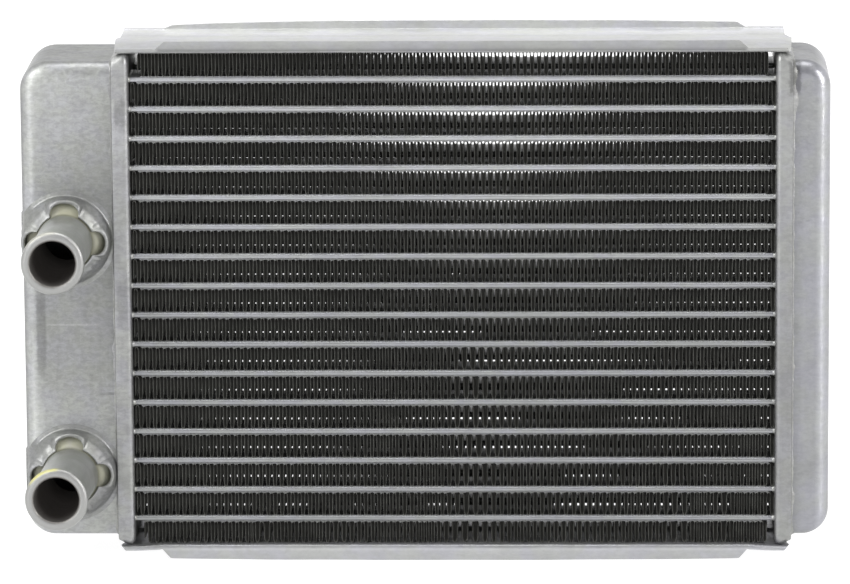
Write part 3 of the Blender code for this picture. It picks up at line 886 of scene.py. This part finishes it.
                # a closed sliver that is twisted a little and thins out toward its edges
                ym = ya + pitch * (k + 0.5)
                a = len(verts)
                verts.extend([sheared(xl - cx + nx, ym - cy + ny, za), sheared(xl + cx - nx, ym + cy - ny, za),
                              sheared(xt + cx + nx, ym + cy + ny, zb), sheared(xt - cx - nx, ym - cy - ny, zb)])
                faces.extend([(a, a + 1, a + 2), (a, a + 2, a + 3), (a, a + 3, a + 1), (a + 1, a + 3, a + 2)])
    name = f"louvred_fin_{index + 1:02d}"
    obj = link_mesh(name, verts, faces, mat, "fin", smooth=False, recalc=False)
    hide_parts(f"fin_strip_{index + 1:02d}")
    return obj


# ---------------------------------------------------------------- side plates
def make_side_plate(name, node, web, up, flange, half, slant, mat, seed, rise=0.0, droop=(0.0, 0.0), tuck=0.0):
    """A U channel of thin sheet. A low stepped bead runs along the front half of its web, and the flanges are cut
    short at both ends with a slanted corner. rise moves the web toward the core between the header plates, and droop
    is how much lower the rear flange is at its left and right end, as tuck is for both ends of the front one."""
    rng = np.random.default_rng(seed)
    ripple, bow, nick = (wave_noise(rng, 7, 0.004, 0.045) for _ in range(3))
    r, t = 1.2, 1.0

    def s(low, high, value):
        return smooth_step(low, high, value)

    def crest(x, y):
        reach = half + 0.2 - abs(x)
        return 0.85 * s(1.6, 9.5, y) * (1 - s(22.9, 23.7, y)) * s(-0.6, 1.2, reach)

    def end_x(y, z, right):
        """Where the sheet ends at the depth y and the height z over the web's underside."""
        out = half + s(0.6, 3.0, y) * (0.62 if right else 0.42) + 0.052 * min(y, 22.0)
        out -= s(20.2, 23.6, y) * (2.05 if right else 1.20)
        return out + slant * (1.0 - min(1.0, max(0.0, z) / 1.45)) * (1 - s(1.0, 6.0, y))

    def profile(x, height, extra):
        def q(y, z):
            return (y, z)

        points = [q(0.0, height), q(0.0, (height + r) / 2), q(0.0, r)]
        for k in range(1, 6):
            a = math.radians(180 + 90 * k / 5)
            points.append(q(r + r * math.cos(a), r + r * math.sin(a)))
        ys = [1.6, 2.4, 3.4, 4.6, 5.8, 7.0, 8.4, 9.8, 12.0, 17.0, 20.5, 22.0] + list(np.linspace(22.7, 24.0, 8)) + [28.0, 34.0]
        points += [q(y, crest(x, y)) for y in ys]
        for k in range(0, 6):
            a = math.radians(270 + 90 * k / 5)
            points.append(q(DEPTH - r + r * math.cos(a), r + r * math.sin(a)))
        points += [q(DEPTH, (height + r) / 2), q(DEPTH, height - 0.1), q(DEPTH - 0.12, height)]
        points += [q(DEPTH - t + 0.12, height), q(DEPTH - t, height - 0.1), q(DEPTH - t, r + 0.25)]
        for k in range(1, 4):
            a = math.radians(0 - 90 * k / 3)
            points.append(q(DEPTH - t - 0.25 + 0.25 * math.cos(a), t + 0.25 + 0.25 * math.sin(a)))
        points += [q(y, t + crest(x, y)) for y in reversed(ys)]
        for k in range(0, 4):
            a = math.radians(270 - 90 * k / 3)
            points.append(q(t + 0.25 + 0.25 * math.cos(a), t + 0.25 + 0.25 * math.sin(a)))
        points += [q(t, height - 0.1), q(t - 0.12, height), q(0.12, height)]
        return points

    lip = 1.45
    stations = [(-half, lip), (-half + 0.25, lip), (-half + 0.6, lip), (-half + 1.1, lip), (-half + 1.8, lip), (-half + 3.0, lip),
                (-95.0, lip), (-90.4, lip), (-89.9, lip - 0.10), (-89.6, lip - 0.12), (-89.3, lip + 0.12), (-87.3, flange - 0.35),
                (-87.0, flange - 0.12), (-86.5, flange - 0.02), (-86.0, flange)]
    stations += [(x, flange) for x in np.linspace(-80, 80, 41)]
    stations += [(-x, h) for x, h in reversed(stations[:15])]
    loops = []
    for x, height in stations:
        dz = 0.10 * float(ripple(x)) * min(1.0, (half - abs(x)) / 10)
        dy = 0.10 * float(bow(x)) * min(1.0, (half - abs(x)) / 10)
        loop = []
        for y, z in profile(x, height, 0):
            px = x
            if abs(abs(x) - half) < 1e-6:
                px = math.copysign(end_x(y, z, x > 0), x)
            tall = max(0.0, (z - r) / 3.0)
            low = rise * (1 - s(92.0, 96.5, abs(x))) * (1 - s(0.0, 3.6, z))
            short = 0.0
            if y > DEPTH - 3.0 and z > r:
                short = (droop[0] if x < 0 else droop[1]) * (abs(x) / 88.0) ** 2.4 * (z - r) / (flange - r)
            elif y < 3.0 and z > r:
                short = tuck * (abs(x) / 88.0) ** 2.2 * (z - r) / (flange - r)
            loop.append((px, min(max(y + dy * tall, -0.02), DEPTH + 0.02),
                         web + up * (z - low - short + (dz * tall if z > r else 0.0))))
        loops.append(loop)
    build = Builder()
    build.loft(loops)
    obj = build.link(name, mat, "side_plate", sharp=38)
    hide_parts(node)
    return obj


# ---------------------------------------------------------------- materials of the pieces
def stub_material(name, place, strong):
    """Drawn tube with a trace of pale flux on its bead and, on one of them, at the upper left of its lip. The bore
    and the chamfer at its lip are painted darker, more so further in, as painted shade, and the bore glows faintly as
    painted light."""
    n = Nodes(name)
    base = (0.385, 0.395, 0.375)
    foot_x, foot_z, mouth_x, mouth_z = place
    cloud = n.noise(70, 4.0, 0.6, (strong * 3, 1, 2), 0.4)
    cloud_two = n.noise(170, 3.0, 0.55, (strong, 7, 1))
    speck = n.noise(800, 2.0, 0.5)
    drawn = n.noise((500, 60, 500), 2.0, 0.5)
    colour = n.mix(n.span(cloud_two, 0.35, 0.66), (0.425, 0.440, 0.410), (0.465, 0.470, 0.460))
    colour = n.mix(n.math("MULTIPLY", n.span(cloud, 0.5, 0.75), 0.45), colour, tuple(c * 0.8 for c in base))
    colour = n.mix(n.math("MULTIPLY", n.span(drawn, 0.5, 0.72), 0.3), colour, tuple(c * 0.88 for c in base))
    x, y, z = n.xyz()
    y_mm = n.math("SUBTRACT", n.math("MULTIPLY", y, 1000.0), float(SHIFT[1]))
    along = n.math("DIVIDE", y_mm, STUB_MOUTH, clamp=True)
    x_mm = n.math("SUBTRACT", n.math("SUBTRACT", n.math("MULTIPLY", x, 1000.0), float(SHIFT[0])),
                  n.math("ADD", foot_x, n.math("MULTIPLY", along, mouth_x - foot_x)))
    z_mm = n.math("SUBTRACT", n.math("MULTIPLY", z, 1000.0),
                  n.math("ADD", foot_z, n.math("MULTIPLY", along, mouth_z - foot_z)))
    out = n.math("SQRT", n.math("ADD", n.math("MULTIPLY", x_mm, x_mm), n.math("MULTIPLY", z_mm, z_mm)))
    # the lip's face is painted darker than the pipe, as painted shade
    lip = n.math("MULTIPLY", n.span(y_mm, STUB_MOUTH + 1.3, STUB_MOUTH + 0.3), n.span(out, STUB_BORE + 0.15, STUB_BORE + 0.8))
    colour = n.mix(n.math("MULTIPLY", lip, 0.85), colour, (0.335, 0.335, 0.330))
    foot = n.math("MULTIPLY", n.span(y_mm, -5.4, -4.4), n.span(out, 8.30, 8.55))
    patch = n.span(n.noise(190, 3.0, 0.6, (2, strong * 2, 5), 0.8), 0.30, 0.62)
    flux = n.math("MULTIPLY", foot, n.math("ADD", 0.75, n.math("MULTIPLY", patch, 0.25)), clamp=True)
    side = n.span(n.math("SUBTRACT", n.math("MULTIPLY", z_mm, 0.9), n.math("MULTIPLY", x_mm, 0.45)), 7.0, 9.0)
    rim = n.math("MULTIPLY", n.span(y_mm, -35.4, -37.0), n.span(out, 8.6, 9.1))
    run = n.math("MULTIPLY", n.math("MULTIPLY", side, rim), n.span(n.noise(160, 3.0, 0.6, (8, 3, strong)), 0.30, 0.52))
    tint = n.mix(patch, (0.60, 0.59, 0.49), (0.56, 0.555, 0.42))
    tint = n.mix(n.span(z_mm, 8.0, 3.0), tint, (0.37, 0.365, 0.275))
    tint = n.mix(n.span(out, 9.1, 8.5), tint, (0.25, 0.245, 0.165))
    colour = n.mix(n.math("MULTIPLY", flux, 0.85), colour, tint)
    colour = n.mix(n.math("MULTIPLY", run, 0.9 * strong), colour, (0.60, 0.58, 0.26))
    flux = n.math("MAXIMUM", flux, n.math("MULTIPLY", run, strong), clamp=True)
    # painted shade: the bore and the chamfer at its lip are painted darker, more so further in
    bore = n.math("MULTIPLY", n.span(out, STUB_BORE + 0.85, STUB_BORE + 0.35), n.span(y_mm, STUB_MOUTH + 0.1, STUB_MOUTH + 9.0, 0.75, 1.0))
    colour = n.mix(bore, colour, (0.13, 0.118, 0.110))
    # painted glow: the bore emits a trace of light, standing in for light that reaches it from inside the tank
    n.shader.inputs["Emission Color"].default_value = (1.0, 0.90, 0.84, 1.0)
    n.wire(n.math("MULTIPLY", bore, n.span(y_mm, -16.0, 3.0, 0.0110, 0.0040)), n.shader.inputs["Emission Strength"])
    roughness = n.math("ADD", 0.36, n.math("MULTIPLY", n.span(cloud, 0.3, 0.7), 0.12))
    roughness = n.math("ADD", roughness, n.math("MULTIPLY", flux, 0.22))
    normal = n.bump(cloud_two, 0.3, 0.0008)
    normal = n.bump(drawn, 0.2, 0.0001, normal)
    normal = n.bump(speck, 0.3, 0.0001, normal)
    return n.finish(colour, roughness, 0.8, normal)


def fin_material(name):
    """Thin sheet painted dark, as painted shade for the inside of the core; its cut front and back edges are painted
    darker still, and right under the upper tube the sheet is painted darker and its edges lighter.
    """
    n = Nodes(name)
    geometry = n.new("ShaderNodeNewGeometry")
    split = n.new("ShaderNodeSeparateXYZ")
    n.wire(geometry.outputs["Normal"], split.inputs[0])
    facing = n.span(n.math("ABSOLUTE", split.outputs[1]), 0.93, 0.985)
    cloud = n.noise(60, 3.0, 0.55, (4, 1, 2))
    fine = n.noise((700, 160, 700), 2.0, 0.5)
    # painted shade: the sheet is dark, and its cut edges darker, for the shade inside the core
    dark = n.mix(n.span(cloud, 0.35, 0.65), (0.100, 0.100, 0.092), (0.140, 0.140, 0.130))
    dark = n.mix(n.math("MULTIPLY", n.span(fine, 0.45, 0.7), 0.35), dark, (0.19, 0.19, 0.18))
    painted_edge_tone = n.mix(n.span(n.noise(300, 2.0, 0.5, (1, 5, 2)), 0.35, 0.65), (0.040, 0.040, 0.037), (0.090, 0.090, 0.083))
    # share of the way up from one tube to the next; near the upper tube the folds' edges get a painted highlight and
    # the sheet painted shade
    height = n.math("DIVIDE", n.math("SUBTRACT", n.math("MULTIPLY", n.xyz()[2], 1000.0), TUBE_TOP_Z), PITCH)
    height = n.math("FRACT", height)
    painted_edge_tone = n.mix(n.span(height, 0.80, 0.86), painted_edge_tone, (0.170, 0.170, 0.158))
    dark = n.mix(n.span(height, 0.70, 0.86), dark, (0.040, 0.040, 0.036))
    colour = n.mix(facing, dark, painted_edge_tone)
    roughness = n.math("ADD", 0.62, n.math("MULTIPLY", n.span(cloud, 0.3, 0.7), 0.14))
    normal = n.bump(fine, 0.2, 0.00005)
    # painted glow: the sheet emits a trace of light for the light between the louvres, weaker right under each tube
    glow = n.span(height, 0.55, 0.86, 0.0130, 0.0022)
    n.shader.inputs["Emission Color"].default_value = (1.0, 1.0, 0.93, 1.0)
    n.wire(glow, n.shader.inputs["Emission Strength"])
    return n.finish(colour, roughness, 0.15, normal, 0.12)


tank_marks = (
    (-116.0, 1.3, 73.5, 9.0, 3.0, 0.35, -0.35),   # pale line across the tank
    (-125.6, 2.0, 72.0, 1.7, 4.0, 16.0, 0.42),    # dark smudge beside its rounded edge
    (-104.5, 1.3, 52.0, 5.0, 3.0, 0.5, 0.30),
)
blob = (103.6, 0.8, 149.8, 2.1, 4.0, 6.3, 0.60)
# painted light and shade on the front tank: its front is painted darker across the middle and lighter toward the top
# and bottom and toward its left edge, and its rounded outer edge gets a painted highlight with painted shade on its
# outermost part
tank_painted_light_zones = (
    (2, 0.0, 160.0, ((0, 1.02), (46, 0.98), (60, 0.80), (82, 0.71), (112, 0.75), (124, 0.86), (136, 0.99), (160, 1.12)), "front"),
    (0, -132.0, -100.0, ((-132, 1.18), (-126, 1.08), (-119, 1.02), (-111, 0.93), (-100, 0.86)), "front"),
    (0, -132.0, -119.0, ((-132, 0.62), (-130.7, 0.74), (-129.7, 1.12), (-128.2, 1.26), (-126.5, 1.12), (-124, 1.0),
                         (-119, 1.0)), None),
)
# top paints the tank's top faces darker as painted shade
tank_metal = sheet_metal("tank_sheet", (0.395, 0.398, 0.394), 0.42, 0.86, (700, 700, 120), 1.0, 0.0, lines=0.34, pits=0.9,
                         top=0.64, marks_at=tank_marks, zones=tank_painted_light_zones, mottle=0.13)
# painted highlight: the collar's rims toward -Y are painted lighter
collar_painted_highlight_zones = ((1, -5.0, 2.0, ((-5, 1.10), (-4.2, 1.12), (-3.6, 1.0), (2, 1.0)), None),)
collar_metal = sheet_metal("collar_sheet", (0.300, 0.302, 0.296), 0.42, 0.82, (500, 500, 500), 1.2, 2.2, lines=0.30, pits=0.9,
                           mottle=0.12, zones=collar_painted_highlight_zones)
# painted light on the return tank: a painted highlight along its rounded outer edge and painted shade toward its mouth;
# top and lift paint its top faces darker and its upper part lighter
return_painted_light_zones = ((0, 100.0, 115.0, ((100, 0.80), (103, 0.80), (106.5, 0.97), (110, 1.0), (111, 1.17), (111.8, 1.30), (113.4, 1.22),
                                   (114.4, 1.06), (115, 1.0)), None),)
return_metal = sheet_metal("return_tank_sheet", (0.335, 0.336, 0.349), 0.33, 0.88, (700, 700, 120), 0.7, 3.1, lines=0.22,
                           pits=0.5, top=0.70, lift=0.04, marks_at=(blob,), zones=return_painted_light_zones, mottle=0.06)
# lift paints both header plates lighter toward the top as painted light
header_left_metal = sheet_metal("header_left_sheet", (0.345, 0.345, 0.346), 0.42, 0.85, (900, 300, 90), 1.3, 6.2, lines=0.3,
                                pits=0.6, lift=0.16, mottle=0.13,
                                marks_at=((-100.5, 0.0, 139.0, 2.0, 3.0, 5.5, 0.42), (-100.5, 0.0, 80.0, 2.2, 3.0, 9.0, 0.26)))
header_right_metal = sheet_metal("header_right_sheet", (0.315, 0.315, 0.316), 0.42, 0.85, (900, 300, 90), 0.9, 8.2, lines=0.3,
                                 pits=0.5, lift=0.20, marks_at=(blob,), mottle=0.09)
seam_metal = sheet_metal("braze_bead", (0.330, 0.330, 0.323), 0.38, 0.85, (400, 400, 400), 1.2, 7.7, lines=0.3, pits=1.0,
                         marks_at=(blob,))
# painted light and shade on the top plate: the web's upper faces are painted lighter from front to back, the back
# flange's front face slightly lighter, and the front flange's face darker toward the web over the core; front paints
# the front faces near the front darker as painted shade
top_painted_light_zones = (
    (1, 0.0, 42.0, ((0, 0.76), (11.5, 0.78), (14.1, 0.855), (16.7, 0.89), (19.3, 0.92), (22.0, 0.91), (24.0, 0.94), (26.9, 0.955),
                     (29.2, 1.04), (31.6, 1.165), (34.0, 1.25), (38.7, 1.34), (40.4, 1.34), (41.0, 0.95), (42, 0.95)), "top"),
    (1, 30.0, 42.0, ((30, 1.0), (38, 1.0), (40, 1.04), (42, 1.04)), "front"),
    (2, 157.0, 162.0, ((157, 0.28), (157.9, 0.48), (159.0, 0.86), (160.4, 1.0), (162, 1.0)), "front", 89.0),
)
top_marks_and_painted_shade = (
    # painted shade in the crease along the step of the web
    (0.0, 24.0, 158.4, 102.0, 1.7, 2.0, 0.34),     # the step along the web
    (-95.5, 33.5, 158.2, 8.0, 8.0, 1.5, 0.26), (95.0, 33.5, 158.2, 8.0, 8.0, 1.5, 0.30),
)
top_metal = sheet_metal("top_plate_sheet", (0.600, 0.600, 0.603), 0.38, 0.85, (90, 900, 900), 0.5, 9.4, lines=0.22, pits=0.4,
                        front=0.66, front_edge=20.0, zones=top_painted_light_zones, mottle=0.05, marks_at=top_marks_and_painted_shade)
# painted light and shade on the bottom plate: the flange is painted lighter just below the web, where it lies in shade,
# and the web's upper face darker; front paints its front faces darker as painted shade
bottom_painted_light_zones = ((2, 0.0, 6.0, ((0, 1.0), (2.7, 1.06), (3.4, 1.20), (3.8, 1.12), (4.2, 0.85), (6, 0.62)), None),)
bottom_metal = sheet_metal("bottom_plate_sheet", (0.470, 0.470, 0.480), 0.40, 0.85, (90, 900, 900), 0.6, 11.4, lines=0.22,
                           pits=0.5, front=0.90, front_edge=20.0, zones=bottom_painted_light_zones, mottle=0.05)
# painted shade on the tubes: their upper faces are painted darker deeper into the core, between the fins, and lift
# paints the upper tubes lighter as painted light
tube_painted_shade_zones = ((1, 0.0, 42.0, ((0, 1.0), (2.9, 1.0), (4.4, 0.62), (10.0, 0.50), (16.0, 0.22), (37.4, 0.22), (39.1, 1.0), (42, 1.0)), "top"),)
tube_metal = sheet_metal("tube_sheet", (0.340, 0.342, 0.351), 0.40, 0.86, (60, 900, 900), 0.8, 12.5, lines=0.25, pits=0.4,
                         lift=0.38, mottle=0.05, zones=tube_painted_shade_zones)
# lift paints the upper fillets lighter as painted light
fillet_metal = sheet_metal("fillet_braze", (0.185, 0.187, 0.190), 0.50, 0.55, (400, 400, 400), 0.6, 13.5, lines=0.2, pits=0.4,
                           lift=0.38, mottle=0.10)
baffle_metal = sheet_metal("baffle_sheet", (0.50, 0.51, 0.50), 0.45, 0.85, offset=15.0)
fin_metal = fin_material("fin_sheet")

make_tank("tank_shell_left", "inlet_outlet_tank", -1, TANK_LEFT, 8.7, tank_metal, [place[:2] for place in STUBS.values()])
make_tank("tank_shell_right", "return_tank", 1, TANK_RIGHT, 8.2, return_metal)
for label, seed, strong, dimple, turn in (("upper", 31, 0.12, 323.0, 0.0), ("lower", 47, 1.0, 310.0, 2.0)):
    place = STUBS[label]
    make_collar("collar_" + label, place[0], place[1], collar_metal, seed, dimple, turn)
    make_stub("stub_tube_" + label, "hose_stub_" + label, place, stub_material("stub_sheet_" + label, place, strong), seed + 1)
make_header("header_shell_left", "header_plate_left", -1, header_left_metal)
make_header("header_shell_right", "header_plate_right", 1, header_right_metal)
make_seam("braze_seam_left", -1, seam_metal, 71, [(138.0, 1.6, 0.9), (127.0, 1.2, 0.8), (66.0, 1.5, 0.7), (146.0, 2.0, 0.5)])
make_seam("braze_seam_right", 1, seam_metal, 83, [(142.5, 4.0, 1.3), (150.0, 2.0, 0.8), (60.0, 1.5, 0.4), (20.0, 2.0, 0.4)])
make_tube_fillets("tube_fillets_left", -1, seam_metal, 91)
make_tube_fillets("tube_fillets_right", 1, seam_metal, 92)
for index in range(TUBES):
    for row, front, back in TUBE_ROWS:
        make_tube(index, row, front, back, tube_metal)
make_fin_fillets("fin_fillets", fillet_metal)
for index in range(TUBES + 1):
    make_fin(index, fin_metal)
make_side_plate("channel_top", "side_plate_top", WEB_TOP, 1, 3.75, 101.45, 0.2, top_metal, 131, droop=(1.5, 0.9))
make_side_plate("channel_bottom", "side_plate_bottom", WEB_BOTTOM, -1, 4.35, 100.85, 1.2, bottom_metal, 137, rise=WEB_RISE, tuck=0.55)
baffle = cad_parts["tank_baffle"]
for material_slot in baffle.material_slots:
    material_slot.material = baffle_metal

# ---------------------------------------------------------------- stage, light and camera
scene = bpy.context.scene
scene.view_settings.view_transform = "Standard"
scene.view_settings.look = "None"

floor_build = bmesh.new()
bmesh.ops.create_grid(floor_build, x_segments=2, y_segments=2, size=9.0)
floor_mesh = bpy.data.meshes.new("floor")
floor_build.to_mesh(floor_mesh)
floor_build.free()
floor = bpy.data.objects.new("floor", floor_mesh)
scene.collection.objects.link(floor)
n = Nodes("pale_floor")
n.finish((0.22, 0.22, 0.22, 1.0), 0.80, 0.0, None, 0.2)
n.shader.inputs["Emission Color"].default_value = (1.0, 1.0, 1.0, 1.0)
n.shader.inputs["Emission Strength"].default_value = 0.90
floor_mesh.materials.append(n.mat)

world = bpy.data.worlds.new("studio")
scene.world = world
world.use_nodes = True
tree = world.node_tree
background = tree.nodes["Background"]
where = tree.nodes.new("ShaderNodeTexCoord")
parts = tree.nodes.new("ShaderNodeSeparateXYZ")
ramp = tree.nodes.new("ShaderNodeValToRGB")
shift = tree.nodes.new("ShaderNodeMapRange")
tree.links.new(where.outputs["Generated"], parts.inputs[0])
tree.links.new(parts.outputs[1], shift.inputs[0])
shift.inputs[1].default_value = -1.0
shift.inputs[2].default_value = 1.0
tree.links.new(shift.outputs[0], ramp.inputs[0])
ramp.color_ramp.elements[0].position = 0.0
ramp.color_ramp.elements[0].color = (0.40, 0.40, 0.41, 1)
ramp.color_ramp.elements[1].position = 1.0
ramp.color_ramp.elements[1].color = (1.0, 1.0, 1.0, 1)
middle = ramp.color_ramp.elements.new(0.5)
middle.color = (0.80, 0.80, 0.80, 1)
tree.links.new(ramp.outputs[0], background.inputs[0])
background.inputs[1].default_value = 1.10


def area(name, place, target, size, power, colour=(1, 1, 1)):
    data = bpy.data.lights.new(name, "AREA")
    data.shape = "RECTANGLE"
    data.size, data.size_y = size
    data.energy = power
    data.color = colour
    obj = bpy.data.objects.new(name, data)
    scene.collection.objects.link(obj)
    obj.location = place
    obj.rotation_euler = (Vector(target) - Vector(place)).to_track_quat("-Z", "Y").to_euler()
    return obj


area("key_left", (-1.3, -0.9, 1.3), (0, 0, 0.08), (0.9, 0.9), 17)
area("fill_right", (1.5, -0.8, 0.9), (0, 0, 0.08), (0.7, 1.0), 10, (1.0, 0.985, 0.975))
area("top_soft", (0.0, 0.1, 1.9), (0, 0, 0.1), (1.6, 1.2), 18)
area("strip_left", (-0.95, -1.45, 0.42), (-0.12, 0, 0.08), (0.16, 0.9), 4.5)
area("strip_right", (1.35, -1.00, 0.42), (0.12, 0, 0.08), (0.16, 0.9), 5.5, (1.0, 0.985, 0.98))

camera_data = bpy.data.cameras.new("camera")
camera = bpy.data.objects.new("camera", camera_data)
scene.collection.objects.link(camera)
camera_data.sensor_width = 36.0
camera_data.sensor_fit = "HORIZONTAL"
camera_data.lens = 6195.0 / 850.0 * 36.0
camera_data.clip_start = 0.05
camera_data.clip_end = 60.0
yaw, pitch_down, roll = -0.02765, 0.20027, -0.006976
eye = (np.array([42.53, -1843.59, 458.19]) + SHIFT) / 1000.0
forward = Vector((math.sin(yaw) * math.cos(pitch_down), math.cos(yaw) * math.cos(pitch_down), -math.sin(pitch_down)))
right = Vector((math.cos(yaw), -math.sin(yaw), 0.0))
up = right.cross(forward)
right_rolled = right * math.cos(roll) + up * math.sin(roll)
up_rolled = -right * math.sin(roll) + up * math.cos(roll)
camera.matrix_world = Matrix((
    (right_rolled.x, up_rolled.x, -forward.x, eye[0]),
    (right_rolled.y, up_rolled.y, -forward.y, eye[1]),
    (right_rolled.z, up_rolled.z, -forward.z, eye[2]),
    (0, 0, 0, 1),
))
scene.camera = camera
